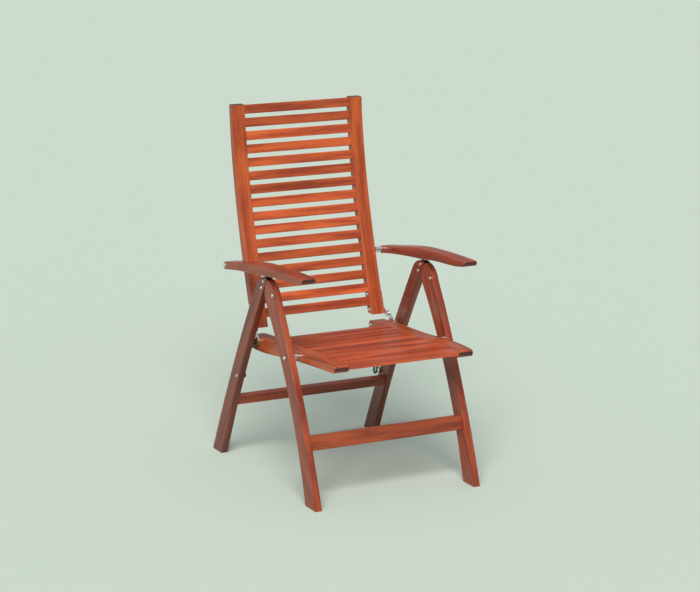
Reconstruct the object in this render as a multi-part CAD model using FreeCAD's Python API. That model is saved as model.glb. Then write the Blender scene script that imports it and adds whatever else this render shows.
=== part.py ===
import FreeCAD, Part
import math
import os

from FreeCAD import Vector

os.makedirs("parts", exist_ok=True)

# High-backed folding armchair in stained hardwood, millimetres.
# X runs across the chair (right is +X), Y from front to rear, Z up from the floor.
# Only the right-hand pieces are drawn: the left-hand ones are their mirror images.

# ---------------------------------------------------------------- driving sizes
overall_width = 612.0
back_top_z = 1109.0

arm_width = 49.0
arm_overhang = 16.0
leg_thickness = 22.0
leg_to_rail_gap = 26.0
seat_rail_width = 51.0
rail_to_stile_step = 9.0
stile_width = 45.0
plate_thickness = 3.0

# Pivots in the side view, as (y, z)
leg_pivot = (-62.0, 597.0)
seat_pivot = (-146.0, 422.0)
guide_pin_place = (168.0, 397.0)
back_hinge = (112.0, 405.0)
arm_pivot = (229.0, 628.0)
latch_pin_place = (13.0, 649.0)
plate_bolt_places = [(1.0, 627.5), (13.0, 604.5)]
guide_bolt_place = (166.0, 284.0)
guide_screw_places = [(157.0, 370.0), (227.0, 222.0)]

# Movement: the legs close by this much, and the seat turns back by the ratio as they do.
# The back leans back by the recline angle while the arms turn on it by their own ratio.
fold_angle = 50.5
seat_turn_ratio = -1.732
recline_angle = 18.0
arm_turn_ratio = 0.583

# Stock and joinery
tenon_length = 12.0
edge_radius = 2.0
seat_slat_thickness = 14.0
seat_slat_width = 30.0
seat_slat_pitch = 41.5
seat_slat_count = 8
back_slat_thickness = 12.0
back_slat_gap = 12.75
back_slat_count = 16
lowest_slat_top_z = 488.25

# Fasteners and clearances
bolt_radius = 4.0
small_bolt_radius = 3.0
bolt_head_radius = 6.0
small_head_radius = 5.0
bolt_head_height = 2.4
running_clearance = 0.1
side_clearance = 0.3


# ---------------------------------------------------------------- drawing helpers
def at(place):
    return Vector(0, place[0], place[1])


def line(start, end):
    return Part.LineSegment(at(start), at(end)).toShape()


def arc(start, middle, end):
    return Part.Arc(at(start), at(middle), at(end)).toShape()


def curve(places):
    spline = Part.BSplineCurve()
    spline.interpolate([at(place) for place in places])
    return spline.toShape()


def polar(centre, radius, degrees):
    turn = math.radians(degrees)
    return (centre[0] + radius * math.cos(turn), centre[1] + radius * math.sin(turn))


def turned(place, centre, degrees):
    """Where a place ends up after a turn about the X direction through the centre."""
    radius = math.hypot(place[0] - centre[0], place[1] - centre[1])
    start = math.degrees(math.atan2(place[1] - centre[1], place[0] - centre[0]))
    return polar(centre, radius, start + degrees)


def board(edges, inner_x, outer_x):
    """A flat piece cut to an outline in the side view, lying between two X planes."""
    face = Part.Face(Part.Wire(edges))
    face.translate(Vector(inner_x, 0, 0))
    return face.extrude(Vector(outer_x - inner_x, 0, 0))


def rod(place, radius, inner_x, outer_x):
    start = Vector(inner_x, place[0], place[1])
    return Part.makeCylinder(radius, outer_x - inner_x, start, Vector(1, 0, 0))


def tube(place, outer_radius, bore_radius, inner_x, outer_x):
    return rod(place, outer_radius, inner_x, outer_x).cut(rod(place, bore_radius, inner_x, outer_x))


def strip(places, radius, inner_x, outer_x):
    """A flat steel strip with rounded corners that follows straight runs between places."""
    shape = rod(places[0], radius, inner_x, outer_x)
    for start, end in zip(places, places[1:]):
        length = math.hypot(end[0] - start[0], end[1] - start[1])
        side = ((start[1] - end[1]) * radius / length, (end[0] - start[0]) * radius / length)
        corners = [
            (start[0] + side[0], start[1] + side[1]),
            (end[0] + side[0], end[1] + side[1]),
            (end[0] - side[0], end[1] - side[1]),
            (start[0] - side[0], start[1] - side[1]),
        ]
        edges = [line(corners[i - 1], corners[i]) for i in range(4)]
        shape = shape.fuse([board(edges, inner_x, outer_x), rod(end, radius, inner_x, outer_x)])
    return shape.removeSplitter()


def band_edges(places, radius):
    """Outline of a band of even width along a curved path, with round ends."""
    upper, lower = [], []
    for index, place in enumerate(places):
        before = places[max(index - 1, 0)]
        after = places[min(index + 1, len(places) - 1)]
        heading = math.degrees(math.atan2(after[1] - before[1], after[0] - before[0]))
        upper.append(polar(place, radius, heading + 90))
        lower.append(polar(place, radius, heading - 90))
        if index == 0:
            start_nose = polar(place, radius, heading + 180)
        end_nose = polar(place, radius, heading)
    return [
        curve(upper),
        arc(upper[-1], end_nose, lower[-1]),
        curve(lower[::-1]),
        arc(lower[0], start_nose, upper[0]),
    ]


def rounded_bar(centre, depth, height, tilt, half_length, radius):
    """A bar lying across the chair, turned about its own length by the tilt."""
    corner = Vector(-half_length, centre[0] - depth / 2, centre[1] - height / 2)
    bar = Part.makeBox(2 * half_length, depth, height, corner)
    if radius > 0:
        bar = bar.makeFillet(radius, [edge for edge in bar.Edges if edge.BoundBox.XLength > 1])
    bar.rotate(Vector(0, centre[0], centre[1]), Vector(1, 0, 0), tilt)
    return bar


def tenoned_bar(centre, depth, height, tilt, half_length):
    """A cross bar and the tenons on its two ends, which the side pieces are cut for."""
    bar = rounded_bar(centre, depth, height, tilt, half_length, edge_radius)
    tenons = rounded_bar(
        centre, depth * 0.6, height * 0.6, tilt, half_length + tenon_length, 0
    )
    return bar.fuse(tenons).removeSplitter(), tenons


def with_round_edges(shape, radius):
    """Eases the outline edges on both side faces of a flat piece."""
    outline = [edge for edge in shape.Edges if edge.BoundBox.XLength < 1e-6]
    return shape.makeFillet(radius, outline)


def mirrored(shape):
    return shape.mirror(Vector(0, 0, 0), Vector(1, 0, 0))


def both(shapes):
    return list(shapes) + [mirrored(shape) for shape in shapes]


def save(name, solids):
    shape = solids[0] if len(solids) == 1 else Part.makeCompound(solids)
    shape.exportStep("parts/" + name + ".step")


def save_pair(name, shape):
    save("right_" + name, [shape])
    save("left_" + name, [mirrored(shape)])


# ---------------------------------------------------------------- worked-out places
arm_outer_x = overall_width / 2
arm_inner_x = arm_outer_x - arm_width
leg_outer_x = arm_outer_x - arm_overhang
leg_inner_x = leg_outer_x - leg_thickness
leg_middle_x = leg_outer_x - leg_thickness / 2
rail_outer_x = leg_inner_x - leg_to_rail_gap
rail_inner_x = rail_outer_x - seat_rail_width
stile_outer_x = rail_outer_x - rail_to_stile_step
stile_inner_x = stile_outer_x - stile_width
guide_outer_x = leg_inner_x - plate_thickness
guide_inner_x = guide_outer_x - plate_thickness
strap_inner_x = rail_outer_x + 0.5
strap_outer_x = strap_inner_x + plate_thickness


def bolt_head(place, radius, face_x, outward):
    """A low round head whose rim is eased, standing on a face."""
    head = rod(place, radius, 0, bolt_head_height)
    rim = [edge for edge in head.Edges if edge.BoundBox.XMin > bolt_head_height - 1e-6]
    head = head.makeFillet(1.2, rim)
    if outward < 0:
        head = mirrored(head)
    head.translate(Vector(face_x, 0, 0))
    return head


# ---------------------------------------------------------------- legs
apex_centre = (-6.0, 581.0)
apex_radius = 60.0
knuckle_radius = 53.0
eye_radius = 9.0
lug_radius = 7.0
latch_pin_radius = 3.5


def front_leg_blank():
    # The knuckle behind the pivot is round about the pivot, so it turns clear of the rear leg.
    knuckle_bottom = polar(leg_pivot, knuckle_radius, -35)
    knuckle_middle = polar(leg_pivot, knuckle_radius, 8)
    knuckle_top = polar(leg_pivot, knuckle_radius, 48.5)
    front_top = (-76, 594)
    edges = [
        line((-366, 0), (-301.5, 0)),
        arc((-301.5, 0), (-184, 300), knuckle_bottom),
        arc(knuckle_bottom, knuckle_middle, knuckle_top),
        arc(knuckle_top, (-57, 622), front_top),
        arc(front_top, (-239, 300), (-366, 0)),
    ]
    return board(edges, leg_inner_x, leg_outer_x)


def rear_leg_blank():
    front_top = polar(apex_centre, apex_radius, 105.7)
    rear_top = polar(apex_centre, apex_radius, 26)
    edges = [
        line((263.7, 0), (324.3, 0)),
        arc((324.3, 0), (198.3, 300), rear_top),
        arc(rear_top, polar(apex_centre, apex_radius, 66), front_top),
        arc(front_top, (147, 300), (263.7, 0)),
    ]
    return board(edges, leg_inner_x, leg_outer_x)


def apex_plate_blank():
    inner_x = leg_middle_x - plate_thickness / 2
    outer_x = leg_middle_x + plate_thickness / 2
    arm = strip([leg_pivot] + plate_bolt_places, eye_radius, inner_x, outer_x)
    lug = strip([plate_bolt_places[0], latch_pin_place], lug_radius, inner_x, outer_x)
    return arm.fuse(lug).removeSplitter()


def apex_plate():
    """The steel plate let into both leg tops: fixed in the rear leg, an eye in the front leg."""
    plate = apex_plate_blank()
    plate = plate.cut(rod(leg_pivot, bolt_radius, leg_inner_x, leg_outer_x))
    plate = plate.cut(rod(latch_pin_place, latch_pin_radius, leg_inner_x, leg_outer_x))
    for place in plate_bolt_places:
        plate = plate.cut(rod(place, small_bolt_radius, leg_inner_x, leg_outer_x))
    return plate


def front_leg_slot():
    """Room in the front leg for the plate, which sweeps back through it as the leg turns."""
    half = plate_thickness / 2 + side_clearance
    clear = eye_radius + 0.5
    inner_x = leg_middle_x - half
    size = 4 * knuckle_radius
    centre = Vector(0, *leg_pivot)
    plate_end = plate_bolt_places[0]
    plate_angle = math.degrees(
        math.atan2(plate_end[1] - leg_pivot[1], plate_end[0] - leg_pivot[0])
    )
    above = Part.makeBox(2 * half, size, size / 2, Vector(
        inner_x, leg_pivot[0] - size / 2, leg_pivot[1] + clear
    ))
    above.rotate(centre, Vector(1, 0, 0), plate_angle + 1)
    below = Part.makeBox(2 * half, size, size / 2, Vector(
        inner_x, leg_pivot[0] - size / 2, leg_pivot[1] - clear - size / 2
    ))
    below.rotate(centre, Vector(1, 0, 0), plate_angle - fold_angle - 1)
    ahead = Part.makeBox(2 * half, size, 2 * size, Vector(
        inner_x, leg_pivot[0] - size - 3, leg_pivot[1] - size
    ))
    sweep = rod(leg_pivot, knuckle_radius + 5, inner_x, inner_x + 2 * half)
    sweep = sweep.cut(above.fuse([below, ahead]))
    return sweep.fuse(rod(leg_pivot, clear, inner_x, inner_x + 2 * half))


front_stretcher, front_stretcher_tenons = tenoned_bar((-272, 185), 20, 46, -10, leg_inner_x)
rear_stretcher, rear_stretcher_tenons = tenoned_bar((206, 193), 20, 31, 18, leg_inner_x)

front_leg = front_leg_blank().cut(front_stretcher_tenons).cut(front_leg_slot())
front_leg = front_leg.cut(
    rod(leg_pivot, bolt_radius + running_clearance, leg_inner_x, leg_outer_x)
)
front_leg = front_leg.cut(rod(seat_pivot, bolt_radius, leg_inner_x, leg_outer_x))

rear_leg = rear_leg_blank().cut(rear_stretcher_tenons).cut(apex_plate_blank())
for place in plate_bolt_places + [guide_bolt_place]:
    rear_leg = rear_leg.cut(rod(place, small_bolt_radius, leg_inner_x, leg_outer_x))
for place in guide_screw_places:
    rear_leg = rear_leg.cut(rod(place, 2, leg_inner_x, leg_inner_x + 12))

save_pair("front_leg", front_leg)
save_pair("rear_leg", rear_leg)
save("front_stretcher", [front_stretcher])
save("rear_stretcher", [rear_stretcher])
save("apex_plates", both([apex_plate()]))


# ---------------------------------------------------------------- leg fasteners
def leg_pivot_bolt():
    inner_x = leg_inner_x - side_clearance
    outer_x = leg_outer_x + side_clearance
    bolt = rod(leg_pivot, bolt_radius, inner_x, outer_x)
    outer_head = bolt_head(leg_pivot, bolt_head_radius, outer_x, 1)
    inner_head = bolt_head(leg_pivot, bolt_head_radius, inner_x, -1)
    return bolt.fuse([outer_head, inner_head])


def through_bolt(place, inner_x, outer_x):
    bolt = rod(place, small_bolt_radius, inner_x, outer_x)
    outer_head = bolt_head(place, small_head_radius, outer_x, 1)
    inner_head = bolt_head(place, small_head_radius, inner_x, -1)
    return bolt.fuse([outer_head, inner_head])


plate_bolts = [through_bolt(place, leg_inner_x, leg_outer_x) for place in plate_bolt_places]
latch_pin = rod(latch_pin_place, latch_pin_radius, leg_middle_x - 7.5, leg_middle_x + 7.5)
save("leg_pivot_bolts", both([leg_pivot_bolt()]))
save("plate_bolts", both(plate_bolts))
save("latch_pins", both([latch_pin]))


# ---------------------------------------------------------------- slotted seat guides
def guide_pin_at(angle):
    """Where the seat's rear pin stands when the front legs have closed by this angle."""
    pivot = turned(seat_pivot, leg_pivot, angle)
    pin = turned(guide_pin_place, leg_pivot, angle)
    return turned(pin, pivot, seat_turn_ratio * angle)


def seat_guide():
    step = fold_angle / 14
    path = [guide_pin_at(index * step) for index in range(15)]
    plate = board(band_edges(path, 11), guide_inner_x, guide_outer_x)
    near_bolt = guide_pin_at(fold_angle * 0.62)
    near_top = guide_pin_at(fold_angle * 0.18)
    near_bottom = guide_pin_at(fold_angle * 0.97)
    lugs = [
        strip([near_bolt, guide_bolt_place], 9, guide_inner_x, guide_outer_x),
        strip([near_top, guide_screw_places[0]], 8, guide_inner_x, guide_outer_x),
        strip([near_bottom, guide_screw_places[1]], 8, guide_inner_x, guide_outer_x),
    ]
    plate = plate.fuse(lugs).removeSplitter()
    slot = band_edges(path, bolt_radius + side_clearance)
    plate = plate.cut(board(slot, guide_inner_x, guide_outer_x))
    plate = plate.cut(rod(guide_bolt_place, small_bolt_radius, guide_inner_x, guide_outer_x))
    for place in guide_screw_places:
        plate = plate.cut(rod(place, 2, guide_inner_x, guide_outer_x))
    return plate


def guide_fastener(place, radius, end_x):
    shaft = rod(place, radius, guide_inner_x, end_x)
    washer = rod(place, 7, guide_outer_x, leg_inner_x)
    head = rod(place, 6, guide_inner_x - 2.2, guide_inner_x)
    return shaft.fuse([washer, head])


guide_bolt = guide_fastener(guide_bolt_place, small_bolt_radius, leg_outer_x)
guide_bolt = guide_bolt.fuse(bolt_head(guide_bolt_place, small_head_radius, leg_outer_x, 1))
guide_screws = [guide_fastener(place, 2, leg_inner_x + 12) for place in guide_screw_places]
save("seat_guides", both([seat_guide()]))
save("guide_fasteners", both([guide_bolt] + guide_screws))

# ---------------------------------------------------------------- seat
seat_top_line = [(-357, 446), (-279, 446), (-99, 430), (71, 420), (170, 411)]


def seat_top(y):
    """Height of the seat's top surface, straight between the places on its line."""
    for start, end in zip(seat_top_line, seat_top_line[1:]):
        if y <= end[0]:
            break
    slope = (end[1] - start[1]) / (end[0] - start[0])
    return start[1] + (y - start[0]) * slope, math.degrees(math.atan(slope))


def seat_rail_blank():
    edges = [
        curve(seat_top_line),
        arc(seat_top_line[-1], (178, 407), (181, 400)),
        line((181, 400), (181, 381)),
        arc((181, 381), (178, 374), (170, 371)),
        curve([(170, 371), (133, 371), (-39, 391), (-251, 415.5), (-360, 424)]),
        arc((-360, 424), (-370, 433), seat_top_line[0]),
    ]
    return with_round_edges(board(edges, rail_inner_x, rail_outer_x), edge_radius)


def seat_slat(rear_y, width):
    centre_y = rear_y - width / 2
    height, slope = seat_top(centre_y)
    centre = (centre_y, height - seat_slat_thickness / 2 - 0.5)
    return tenoned_bar(centre, width, seat_slat_thickness, slope, rail_inner_x)


first_slat_rear_y = 74.5
slat_gap = seat_slat_pitch - seat_slat_width
wide_slat_rear_y = first_slat_rear_y - seat_slat_count * seat_slat_pitch
wide_slat_width = 57 - slat_gap / 2
front_board_rear_y = wide_slat_rear_y - wide_slat_width - slat_gap
front_board_width = front_board_rear_y + 368

seat_boards = {}
for index in range(seat_slat_count):
    name = "seat_slat_" + str(index + 1)
    seat_boards[name] = seat_slat(first_slat_rear_y - index * seat_slat_pitch, seat_slat_width)
seat_boards["seat_wide_slat"] = seat_slat(wide_slat_rear_y, wide_slat_width)
seat_boards["seat_front_board"] = seat_slat(front_board_rear_y, front_board_width)

seat_rail = seat_rail_blank()
for name, (slat, tenons) in seat_boards.items():
    seat_rail = seat_rail.cut(tenons)
    save(name, [slat])
blind_x = rail_outer_x - 30
seat_rail = seat_rail.cut(rod(seat_pivot, bolt_radius + running_clearance, blind_x, rail_outer_x))
seat_rail = seat_rail.cut(rod(back_hinge, bolt_radius + running_clearance, blind_x, rail_outer_x))
seat_rail = seat_rail.cut(rod(guide_pin_place, bolt_radius, rail_inner_x, rail_outer_x))
save_pair("seat_rail", seat_rail)

# ---------------------------------------------------------------- seat pivots and guide pins
seat_bolt = rod(seat_pivot, bolt_radius, blind_x + 0.5, leg_outer_x)
seat_bolt = seat_bolt.fuse([
    bolt_head(seat_pivot, bolt_head_radius, leg_outer_x, 1),
    rod(seat_pivot, 8, rail_outer_x + side_clearance, leg_inner_x),
])

guide_pin = rod(guide_pin_place, bolt_radius, rail_inner_x, leg_inner_x - side_clearance)
guide_pin = guide_pin.fuse([
    bolt_head(guide_pin_place, small_head_radius, rail_inner_x, -1),
    rod(guide_pin_place, 7.5, rail_outer_x, guide_inner_x - side_clearance),
    rod(guide_pin_place, 7, guide_outer_x + side_clearance, leg_inner_x - side_clearance),
])
save("seat_pivot_bolts", both([seat_bolt]))
save("seat_guide_pins", both([guide_pin]))

# ---------------------------------------------------------------- back
stile_bottom_z = 434.0


def stile_front(z):
    """The hollow curve of the back, seen from the side, and the share of its height."""
    share = (z - stile_bottom_z) / (back_top_z - stile_bottom_z)
    return 154 + 248 * share - 12 * share**2 - 48 * share**3, share


def stile_rear(z):
    front_y, share = stile_front(z)
    return front_y + 29 - 7 * share**2


def stile_blank():
    steps = 8
    rise = (back_top_z - stile_bottom_z) / steps
    heights = [stile_bottom_z + index * rise for index in range(steps + 1)]
    front = [(stile_front(z)[0], z) for z in heights]
    rear = [(stile_rear(z), z) for z in heights]
    edges = [curve(front), line(front[-1], rear[-1]), curve(rear[::-1]), line(rear[0], front[0])]
    return with_round_edges(board(edges, stile_inner_x, stile_outer_x), edge_radius)


def back_slat(top_z, height):
    below, above = stile_front(top_z - height)[0], stile_front(top_z)[0]
    lean = math.degrees(math.atan2(above - below, height))
    middle_y = (below + above) / 2 + back_slat_thickness / 2 + 3
    centre = (middle_y, top_z - height / 2)
    return tenoned_bar(centre, back_slat_thickness, height, -lean, stile_inner_x)


back_slat_pitch = (back_top_z - 2 - lowest_slat_top_z) / (back_slat_count - 1)
back_slat_height = back_slat_pitch - back_slat_gap
stile = stile_blank()
for index in range(back_slat_count):
    slat, tenons = back_slat(back_top_z - 2 - index * back_slat_pitch, back_slat_height)
    stile = stile.cut(tenons)
    save("back_slat_" + str(index + 1).zfill(2), [slat])
strap_bolt_places = [(stile_front(z)[0] + 13, z) for z in (447.0, 495.0)]
arm_bolt_end_x = stile_inner_x + tenon_length + 2
stile = stile.cut(rod(arm_pivot, bolt_radius + running_clearance, arm_bolt_end_x, stile_outer_x))
for place in strap_bolt_places:
    stile = stile.cut(rod(place, 2.5, stile_inner_x, stile_outer_x))
save_pair("back_stile", stile)


# ---------------------------------------------------------------- back hinges
def back_strap():
    """The cranked steel strap that hangs the stile on the hinge pin outside the seat rail."""
    bend = (146.0, 436.0)
    low_end = strip([back_hinge, bend], 9, strap_inner_x, strap_outer_x)
    web = rod(bend, 6, stile_outer_x, strap_outer_x)
    high_end = strip([bend] + strap_bolt_places, 9, stile_outer_x, stile_outer_x + plate_thickness)
    strap = low_end.fuse([web, high_end]).removeSplitter()
    strap = strap.cut(rod(back_hinge, bolt_radius + running_clearance, rail_outer_x, leg_inner_x))
    for place in strap_bolt_places:
        strap = strap.cut(rod(place, 2.5, stile_outer_x, leg_inner_x))
    return strap


def strap_bolt(place):
    outer_x = stile_outer_x + plate_thickness
    shaft = rod(place, 2.5, stile_inner_x, outer_x)
    return shaft.fuse([bolt_head(place, 5, outer_x, 1), bolt_head(place, 5, stile_inner_x, -1)])


ring_inner_x = strap_outer_x + side_clearance
ring_outer_x = ring_inner_x + 6
roller_outer_x = guide_inner_x - 3.5
hinge_pin = rod(back_hinge, bolt_radius, blind_x + 0.5, roller_outer_x)
hinge_pin = hinge_pin.fuse(rod(back_hinge, 6, roller_outer_x, roller_outer_x + 0.8))
save("back_straps", both([back_strap()]))
save("strap_bolts", both([strap_bolt(place) for place in strap_bolt_places]))
save_pair("hinge_pin", hinge_pin)
save_pair("hinge_ring", tube(back_hinge, 12, bolt_radius, ring_inner_x, ring_outer_x))
save_pair("hinge_spacer", tube(back_hinge, 9, bolt_radius, ring_outer_x, roller_outer_x))

# ---------------------------------------------------------------- arms
recess_half_width = 9.0
recess_rear_y = 50.0
recess_front_y = -92.0
rack_half_width = 6.5
rack_wall = 2.0
rack_rear_y = 36.0
rack_front_y = -74.0
hook_bottom_z = 641.0
tooth_pitch = 18.0


def recess_top(y):
    """The roof of the recess, which the rack's flat back is screwed to."""
    return 663 + (rack_rear_y - y) * 0.07


def latch_path(angle):
    """Where the latch pin stands, seen from the arm, when the back has leaned by this angle."""
    moved_pivot = turned(arm_pivot, back_hinge, -angle)
    shift = (arm_pivot[0] - moved_pivot[0], arm_pivot[1] - moved_pivot[1])
    pin = (latch_pin_place[0] + shift[0], latch_pin_place[1] + shift[1])
    return turned(pin, arm_pivot, angle * (1 - arm_turn_ratio))


def arm_blank():
    top = [(237, 637), (121, 660), (11, 680), (-72, 688), (-189, 695), (-268, 697)]
    bottom = [(-264, 680), (-229, 673), (-119, 663), (-17, 650), (118, 633), (233, 613)]
    edges = [
        curve(top),
        arc(top[-1], (-273, 689), bottom[0]),
        curve(bottom),
        arc(bottom[-1], (241, 624), top[0]),
    ]
    return with_round_edges(board(edges, arm_inner_x, arm_outer_x), 4)


def recess():
    corners = [
        (recess_rear_y, latch_pin_place[1] - 20),
        (recess_rear_y, recess_top(recess_rear_y)),
        (recess_front_y, recess_top(recess_front_y)),
        (recess_front_y, latch_pin_place[1] - 20),
    ]
    edges = [line(corners[i - 1], corners[i]) for i in range(4)]
    return board(edges, leg_middle_x - recess_half_width, leg_middle_x + recess_half_width)


def arm_rack():
    """A bent channel: a flat back screwed into the arm and two toothed flanges."""
    start, end = latch_path(0), latch_path(recline_angle)
    slope = (end[1] - start[1]) / (end[0] - start[0])
    clear_of_pin = latch_pin_radius + side_clearance + 0.1

    def tip(y, lift=0.0):
        return (y, start[1] + (y - start[0]) * slope + clear_of_pin + lift)

    corners = [
        (rack_rear_y, recess_top(rack_rear_y)),
        (rack_rear_y, hook_bottom_z),
        (start[0] + 6, hook_bottom_z),
        tip(start[0] + 5),
    ]
    tooth_y = start[0] - 5
    while tooth_y - tooth_pitch > rack_front_y:
        corners += [tip(tooth_y), tip(tooth_y - 5, 4), tip(tooth_y - 10, 4), tip(tooth_y - 13)]
        tooth_y -= tooth_pitch
    corners += [tip(rack_front_y), (rack_front_y, recess_top(rack_front_y))]
    edges = [line(corners[i - 1], corners[i]) for i in range(len(corners))]
    outer = board(edges, leg_middle_x - rack_half_width, leg_middle_x + rack_half_width)
    inside = [
        line((rack_rear_y + 5, 600), (rack_rear_y + 5, recess_top(rack_rear_y + 5) - rack_wall)),
        line(
            (rack_rear_y + 5, recess_top(rack_rear_y + 5) - rack_wall),
            (rack_front_y - 5, recess_top(rack_front_y - 5) - rack_wall),
        ),
        line((rack_front_y - 5, recess_top(rack_front_y - 5) - rack_wall), (rack_front_y - 5, 600)),
        line((rack_front_y - 5, 600), (rack_rear_y + 5, 600)),
    ]
    inner_x = leg_middle_x - rack_half_width + rack_wall
    outer_x = leg_middle_x + rack_half_width - rack_wall
    return outer.cut(board(inside, inner_x, outer_x))


arm_bore_radius = 6.5
arm = arm_blank().cut(recess())
arm = arm.cut(rod(arm_pivot, arm_bore_radius + running_clearance, arm_inner_x, arm_outer_x))
save_pair("armrest", arm)
save_pair("arm_rack", arm_rack())

bush_inner_x = stile_outer_x + side_clearance
bush_outer_x = arm_outer_x
arm_bush = rod(arm_pivot, 9, bush_inner_x, arm_inner_x - side_clearance)
arm_bush = arm_bush.fuse(rod(arm_pivot, arm_bore_radius, bush_inner_x, bush_outer_x))
arm_bush = arm_bush.cut(rod(arm_pivot, bolt_radius + running_clearance, bush_inner_x, bush_outer_x))

bolt_outer_x = arm_outer_x + side_clearance
arm_bolt = rod(arm_pivot, bolt_radius, arm_bolt_end_x + 0.5, bolt_outer_x)
arm_bolt = arm_bolt.fuse(bolt_head(arm_pivot, arm_bore_radius + 1, bolt_outer_x, 1))
save_pair("arm_bush", arm_bush)
save_pair("arm_bolt", arm_bolt)
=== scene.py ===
import math

import bpy
from mathutils import Matrix, Vector

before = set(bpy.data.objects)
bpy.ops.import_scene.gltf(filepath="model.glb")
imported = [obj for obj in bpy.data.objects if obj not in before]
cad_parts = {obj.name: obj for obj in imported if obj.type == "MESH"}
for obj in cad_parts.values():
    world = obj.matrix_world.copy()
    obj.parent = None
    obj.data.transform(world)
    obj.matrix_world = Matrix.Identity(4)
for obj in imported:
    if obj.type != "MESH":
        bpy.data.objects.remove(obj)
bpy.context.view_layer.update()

# Red-brown finish shared by every wooden piece: a hardwood with straight grain, dark pores and
# soft growth bands, stained and lacquered to a satin gloss. The group takes coordinates whose X
# runs along the grain, and gives the stain colour, a roughness and a height for the bump.
stain = bpy.data.node_groups.new("stained_hardwood", "ShaderNodeTree")
for socket_name, socket_type, in_out in [
    ("Place", "NodeSocketVector", "INPUT"),
    ("Light stain", "NodeSocketColor", "INPUT"),
    ("Dark stain", "NodeSocketColor", "INPUT"),
    ("End grain", "NodeSocketFloat", "INPUT"),
    ("Tone", "NodeSocketFloat", "INPUT"),
    ("Colour", "NodeSocketColor", "OUTPUT"),
    ("Roughness", "NodeSocketFloat", "OUTPUT"),
    ("Height", "NodeSocketFloat", "OUTPUT"),
]:
    stain.interface.new_socket(socket_name, in_out=in_out, socket_type=socket_type)


def add_node(tree, kind, **settings):
    node = tree.nodes.new(kind)
    for key, value in settings.items():
        setattr(node, key, value)
    return node


def noise(tree, place, scale, detail, roughness, stretch):
    """Noise drawn out along the first direction by the stretch."""
    mapping = add_node(tree, "ShaderNodeMapping")
    mapping.inputs["Scale"].default_value = (scale / stretch, scale, scale)
    texture = add_node(tree, "ShaderNodeTexNoise", noise_dimensions="3D")
    texture.inputs["Scale"].default_value = 1.0
    texture.inputs["Detail"].default_value = detail
    texture.inputs["Roughness"].default_value = roughness
    tree.links.new(place, mapping.inputs["Vector"])
    tree.links.new(mapping.outputs["Vector"], texture.inputs["Vector"])
    return texture.outputs["Fac"]


def spread(tree, value, low, high, to_low=0.0, to_high=1.0):
    node = add_node(tree, "ShaderNodeMapRange", interpolation_type="SMOOTHSTEP")
    node.inputs["From Min"].default_value = low
    node.inputs["From Max"].default_value = high
    node.inputs["To Min"].default_value = to_low
    node.inputs["To Max"].default_value = to_high
    tree.links.new(value, node.inputs["Value"])
    return node.outputs["Result"]


def mixed(tree, factor, first, second):
    node = add_node(tree, "ShaderNodeMix", data_type="RGBA", blend_type="MIX")
    for source, socket in ((factor, 0), (first, 6), (second, 7)):
        if hasattr(source, "is_output"):
            tree.links.new(source, node.inputs[socket])
        else:
            node.inputs[socket].default_value = source
    return node.outputs[2]


def arithmetic(tree, operation, first, second):
    node = add_node(tree, "ShaderNodeMath", operation=operation)
    for source, socket in ((first, 0), (second, 1)):
        if hasattr(source, "is_output"):
            tree.links.new(source, node.inputs[socket])
        else:
            node.inputs[socket].default_value = source
    return node.outputs[0]


start = add_node(stain, "NodeGroupInput").outputs
end = add_node(stain, "NodeGroupOutput").inputs
bands = spread(stain, noise(stain, start["Place"], 55, 3, 0.55, 14), 0.33, 0.67)
fibres = spread(stain, noise(stain, start["Place"], 420, 4, 0.6, 30), 0.35, 0.7)
pores = spread(stain, noise(stain, start["Place"], 900, 2, 0.5, 22), 0.60, 0.72)
blotches = spread(stain, noise(stain, start["Place"], 9, 2, 0.5, 3), 0.3, 0.7)
ground = mixed(stain, bands, start["Dark stain"], start["Light stain"])
fine = mixed(stain, arithmetic(stain, "MULTIPLY", fibres, 0.35), ground, start["Light stain"])
cloudy = mixed(stain, arithmetic(stain, "MULTIPLY", blotches, 0.22), fine, start["Dark stain"])
pored = mixed(stain, arithmetic(stain, "MULTIPLY", pores, 0.55), cloudy, (0.05, 0.010, 0.005, 1))
brightness = add_node(stain, "ShaderNodeHueSaturation")
stain.links.new(start["Tone"], brightness.inputs["Value"])
stain.links.new(pored, brightness.inputs["Color"])
ended = mixed(stain, start["End grain"], brightness.outputs["Color"], (0.020, 0.008, 0.006, 1))
stain.links.new(ended, end["Colour"])
stain.links.new(spread(stain, fibres, 0.0, 1.0, 0.36, 0.27), end["Roughness"])
height = arithmetic(stain, "SUBTRACT", arithmetic(stain, "MULTIPLY", fibres, 0.4), pores)
stain.links.new(height, end["Height"])


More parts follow.
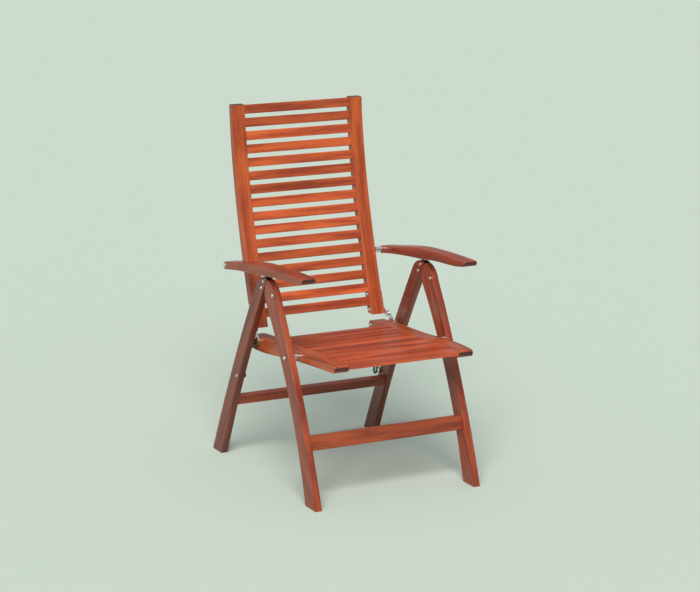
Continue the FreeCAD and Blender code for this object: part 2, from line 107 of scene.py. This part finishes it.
def wood(name, grain, light, dark, pitch=None, phase=0.0, counted_along=None):
    """A wooden finish with its grain along a direction, and a new tone for each piece at a pitch."""
    material = bpy.data.materials.new(name)
    material.use_nodes = True
    tree = material.node_tree
    shader = tree.nodes["Principled BSDF"]
    places = add_node(tree, "ShaderNodeTexCoord").outputs
    turn = add_node(tree, "ShaderNodeVectorRotate", rotation_type="EULER_XYZ")
    along = Vector(grain).normalized()
    turn.inputs["Rotation"].default_value = along.rotation_difference((1, 0, 0)).to_euler("XYZ")
    tree.links.new(places["Object"], turn.inputs["Vector"])
    place = turn.outputs["Vector"]
    group = add_node(tree, "ShaderNodeGroup")
    group.node_tree = stain
    if pitch:
        counted = add_node(tree, "ShaderNodeVectorMath", operation="DOT_PRODUCT")
        counted.inputs[1].default_value = counted_along
        tree.links.new(places["Object"], counted.inputs[0])
        ahead = arithmetic(tree, "ADD", counted.outputs["Value"], phase)
        number = arithmetic(tree, "FLOOR", arithmetic(tree, "DIVIDE", ahead, pitch), 0.0)
        lot = add_node(tree, "ShaderNodeTexWhiteNoise", noise_dimensions="1D")
        tree.links.new(number, lot.inputs["W"])
        tone_spread = 0.22
        tone = spread(tree, lot.outputs["Value"], 0.0, 1.0, 1 - tone_spread, 1 + tone_spread)
        moved = add_node(tree, "ShaderNodeVectorMath", operation="ADD")
        shift = add_node(tree, "ShaderNodeCombineXYZ")
        tree.links.new(arithmetic(tree, "MULTIPLY", lot.outputs["Value"], 7.0), shift.inputs[0])
        tree.links.new(place, moved.inputs[0])
        tree.links.new(shift.outputs[0], moved.inputs[1])
        place = moved.outputs[0]
        tree.links.new(tone, group.inputs["Tone"])
    else:
        group.inputs["Tone"].default_value = 1.0
    facing = add_node(tree, "ShaderNodeVectorMath", operation="DOT_PRODUCT")
    facing.inputs[1].default_value = along
    tree.links.new(places["Normal"], facing.inputs[0])
    squareness = arithmetic(tree, "ABSOLUTE", facing.outputs["Value"], 0.0)
    tree.links.new(spread(tree, squareness, 0.72, 0.95, 0.0, 0.9), group.inputs["End grain"])
    tree.links.new(place, group.inputs["Place"])
    group.inputs["Light stain"].default_value = (*light, 1)
    group.inputs["Dark stain"].default_value = (*dark, 1)
    bump = add_node(tree, "ShaderNodeBump")
    bump.inputs["Strength"].default_value = 0.25
    bump.inputs["Distance"].default_value = 0.0004
    tree.links.new(group.outputs["Height"], bump.inputs["Height"])
    tree.links.new(group.outputs["Colour"], shader.inputs["Base Color"])
    tree.links.new(group.outputs["Roughness"], shader.inputs["Roughness"])
    tree.links.new(bump.outputs["Normal"], shader.inputs["Normal"])
    shader.inputs["Coat Weight"].default_value = 0.12
    shader.inputs["Coat Roughness"].default_value = 0.16
    return material


def finish_piece(name, material, edge):
    """Gives a carried-over piece its finish and, where an edge size is given, rounded edges."""
    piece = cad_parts[name]
    piece.data.materials.clear()
    piece.data.materials.append(material)
    if edge:
        weld = piece.modifiers.new("joined_faces", "WELD")
        weld.merge_threshold = 0.00002
        worn = piece.modifiers.new("worn_edges", "BEVEL")
        worn.width = edge
        worn.segments = 2
        worn.limit_method = "ANGLE"
        worn.angle_limit = math.radians(35)
        worn.harden_normals = True


# Legs: two bowed front legs and two bowed rear legs, sawn from 22 mm boards so the grain runs
# down their length. The front pair closes on the rear pair about the bolts at their tops.
# The rear pair is given darker colours as painted shade, and every edge is rounded off.
front_leg_light = (0.36, 0.062, 0.018)
front_leg_dark = (0.15, 0.020, 0.007)
# Painted shade: the rear leg colours are darker copies of the leg wood, standing in for the shade
# the rear legs lie in.
rear_leg_painted_shade_light = (0.23, 0.038, 0.013)
rear_leg_painted_shade_dark = (0.09, 0.013, 0.006)
front_leg_finish = wood("front_leg_wood", (0, 0.52, 0.86), front_leg_light, front_leg_dark)
rear_leg_painted_shade_finish = wood("rear_leg_wood_painted_shade", (0, -0.46, 0.89), rear_leg_painted_shade_light, rear_leg_painted_shade_dark)
leg_edge = 0.003
for side in ("left", "right"):
    finish_piece(side + "_front_leg", front_leg_finish, leg_edge)
    finish_piece(side + "_rear_leg", rear_leg_painted_shade_finish, leg_edge)

# Stretchers: one board tenoned between the front legs and a slimmer one between the rear legs.
stretcher_finish = wood("stretcher_wood", (1, 0, 0), (0.34, 0.062, 0.018), (0.15, 0.021, 0.007))
for name in ("front_stretcher", "rear_stretcher"):
    finish_piece(name, stretcher_finish, 0)

# Seat: two shaped rails with slats tenoned between them, a wide slat and a rounded front board.
seat_slat_pitch = 0.0415
seat_slat_count_start = -0.0802 + 1.0
rail_finish = wood("seat_rail_wood", (0, 1, -0.07), (0.50, 0.100, 0.026), (0.21, 0.030, 0.009))
seat_slat_finish = wood(
    "seat_slat_wood", (1, 0, 0), (0.52, 0.085, 0.024), (0.24, 0.028, 0.009),
    pitch=seat_slat_pitch, phase=seat_slat_count_start, counted_along=(0, 1, 0),
)
for side in ("left", "right"):
    finish_piece(side + "_seat_rail", rail_finish, 0)
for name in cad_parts:
    if name.startswith("seat_slat_") or name in ("seat_wide_slat", "seat_front_board"):
        finish_piece(name, seat_slat_finish, 0)

# Back: two tall curved stiles and sixteen slats tenoned between them, each slat cut from a
# different strip, so neighbours differ a little in tone.
back_slat_pitch = 0.04125
back_slat_count_start = -1.112 + 1.65
stile_finish = wood("back_stile_wood", (0, 0.30, 0.95), (0.47, 0.088, 0.020), (0.23, 0.031, 0.008))
back_slat_finish = wood(
    "back_slat_wood", (1, 0, 0), (0.56, 0.105, 0.026), (0.24, 0.030, 0.009),
    pitch=back_slat_pitch, phase=back_slat_count_start, counted_along=(0, 0, 1),
)
for side in ("left", "right"):
    finish_piece(side + "_back_stile", stile_finish, 0)
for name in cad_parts:
    if name.startswith("back_slat_"):
        finish_piece(name, back_slat_finish, 0)

# Arms: long bowed boards, rounded all over where hands rest, which hook on pins over the legs.
arm_finish = wood("armrest_wood", (0, 1, -0.12), (0.38, 0.060, 0.020), (0.16, 0.022, 0.008))
for side in ("left", "right"):
    finish_piece(side + "_armrest", arm_finish, 0)


# Metalwork: bright zinc plated bolts, pins, plates, straps and racks, blackened steel seat guides,
# brass hinge rings and black nylon spacers. Brushing and faint dulled patches break up the shine.
def metal(name, colour, dull_colour, roughness, metallic=1.0, scale=60.0):
    material = bpy.data.materials.new(name)
    material.use_nodes = True
    tree = material.node_tree
    shader = tree.nodes["Principled BSDF"]
    place = add_node(tree, "ShaderNodeTexCoord").outputs["Object"]
    patches = spread(tree, noise(tree, place, scale, 3, 0.55, 1), 0.35, 0.7)
    scratches = noise(tree, place, scale * 25, 2, 0.5, 12)
    tree.links.new(
        mixed(tree, patches, (*colour, 1), (*dull_colour, 1)), shader.inputs["Base Color"]
    )
    tree.links.new(
        spread(tree, scratches, 0.2, 0.8, roughness - 0.06, roughness + 0.1),
        shader.inputs["Roughness"],
    )
    bump = add_node(tree, "ShaderNodeBump")
    bump.inputs["Strength"].default_value = 0.15
    bump.inputs["Distance"].default_value = 0.0002
    tree.links.new(scratches, bump.inputs["Height"])
    tree.links.new(bump.outputs["Normal"], shader.inputs["Normal"])
    shader.inputs["Metallic"].default_value = metallic
    return material


zinc = metal("bright_zinc", (0.78, 0.79, 0.80), (0.60, 0.61, 0.62), 0.26)
brass = metal("polished_brass", (0.83, 0.60, 0.24), (0.66, 0.46, 0.18), 0.24)
blackened = metal("blackened_steel", (0.10, 0.10, 0.10), (0.05, 0.05, 0.05), 0.42)
black = metal("black_nylon", (0.018, 0.018, 0.018), (0.03, 0.03, 0.03), 0.5, metallic=0.0)
metal_names = [
    "apex_plates", "leg_pivot_bolts", "plate_bolts", "latch_pins",
    "guide_fasteners", "seat_pivot_bolts", "seat_guide_pins", "back_straps", "strap_bolts",
]
for name in metal_names:
    finish_piece(name, zinc, 0)
finish_piece("seat_guides", blackened, 0)
for side in ("left", "right"):
    for part in ("_arm_bolt", "_arm_bush", "_arm_rack", "_hinge_pin"):
        finish_piece(side + part, zinc, 0)
    finish_piece(side + "_hinge_ring", brass, 0)
    finish_piece(side + "_hinge_spacer", black, 0)

# Studio: a pale plain floor under a sky that brightens upwards, and one broad key light from the
# front left.
bpy.ops.mesh.primitive_plane_add(size=160, location=(0, 0, 0))
floor = bpy.context.object
floor.name = "studio_floor"
floor_finish = bpy.data.materials.new("pale_floor")
floor_finish.use_nodes = True
floor_shader = floor_finish.node_tree.nodes["Principled BSDF"]
floor_shader.inputs["Base Color"].default_value = (0.486, 0.556, 0.482, 1)
floor_shader.inputs["Roughness"].default_value = 1.0
floor_shader.inputs["Specular IOR Level"].default_value = 0.0
floor.data.materials.append(floor_finish)

bpy.ops.object.light_add(type="SUN", location=(-3, -3, 5))
key_light = bpy.context.object
key_light.name = "key_light"
key_light.data.energy = 3.6
key_light.data.angle = math.radians(38)
key_light.data.color = (1, 0.985, 0.96)
key_light.rotation_euler = Vector((2.4, 3.4, -4.0)).to_track_quat("-Z", "Y").to_euler()

sky = bpy.data.worlds.new("pale_sky")
sky.use_nodes = True
sky_tree = sky.node_tree
sky_place = add_node(sky_tree, "ShaderNodeTexCoord").outputs["Generated"]
sky_height = add_node(sky_tree, "ShaderNodeSeparateXYZ")
sky_tree.links.new(sky_place, sky_height.inputs[0])
sky_share = spread(sky_tree, sky_height.outputs["Z"], -0.1, 0.9)
sky_colour = mixed(sky_tree, sky_share, (0.20, 0.22, 0.21, 1), (0.62, 0.66, 0.70, 1))
sky_tree.links.new(sky_colour, sky_tree.nodes["Background"].inputs["Color"])
sky_tree.nodes["Background"].inputs["Strength"].default_value = 0.85
bpy.context.scene.world = sky
bpy.context.scene.view_settings.view_transform = "Standard"

# Camera: a long lens a little above the arms, to the chair's left of front.
azimuth = math.radians(-29.70)
elevation = math.radians(14.42)
roll = math.radians(1.64)
behind = Vector((
    math.sin(azimuth) * math.cos(elevation),
    -math.cos(azimuth) * math.cos(elevation),
    math.sin(elevation),
))
sideways = (-behind).cross(Vector((0, 0, 1))).normalized()
upwards = sideways.cross(-behind)
level_x = sideways * math.cos(roll) + upwards * math.sin(roll)
level_y = upwards * math.cos(roll) - sideways * math.sin(roll)
camera_data = bpy.data.cameras.new("front_left_camera")
camera_data.lens = 131.7
camera_data.sensor_width = 36
camera = bpy.data.objects.new("front_left_camera", camera_data)
bpy.context.scene.collection.objects.link(camera)
turning = Matrix((level_x, level_y, behind)).transposed().to_4x4()
camera.matrix_world = Matrix.Translation((-3.811, -6.709, 2.536)) @ turning
bpy.context.scene.camera = camera
